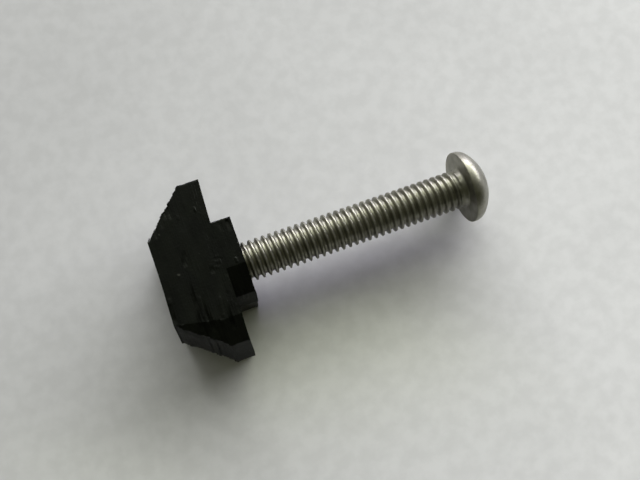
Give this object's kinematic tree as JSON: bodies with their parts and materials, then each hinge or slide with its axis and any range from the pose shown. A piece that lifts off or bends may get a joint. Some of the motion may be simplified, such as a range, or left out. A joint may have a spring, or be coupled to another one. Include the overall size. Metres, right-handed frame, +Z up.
{
  "type": "t-slot nut with machine screw",
  "caption": "Black printed quarter-turn T-slot nut for an 8 mm slot, threaded on a stainless button-head machine screw.",
  "frame": {"origin": "on the surface the assembly lies on, under the middle of its length and width", "axes": "+X along the screw from the nut to the head, +Y from wing to wing, +Z up, away from the side it lies on"},
  "size_m": [0.0336, 0.0176, 0.0076],
  "materials": {
    "printed_plastic": "matte, layered and rough",
    "stainless_steel": "plain stainless, rolled thread"
  },
  "bodies": {
    "nut": {"t_nut": "printed_plastic"},
    "screw": {"button_head_screw": "stainless_steel"}
  },
  "joints": [
    {"name": "screw_turn", "type": "hinge", "parent": "nut", "child": "screw", "pos_m": [0, 0, 0.0038], "axis": [1, 0, 0], "continuous": true}
  ]
}
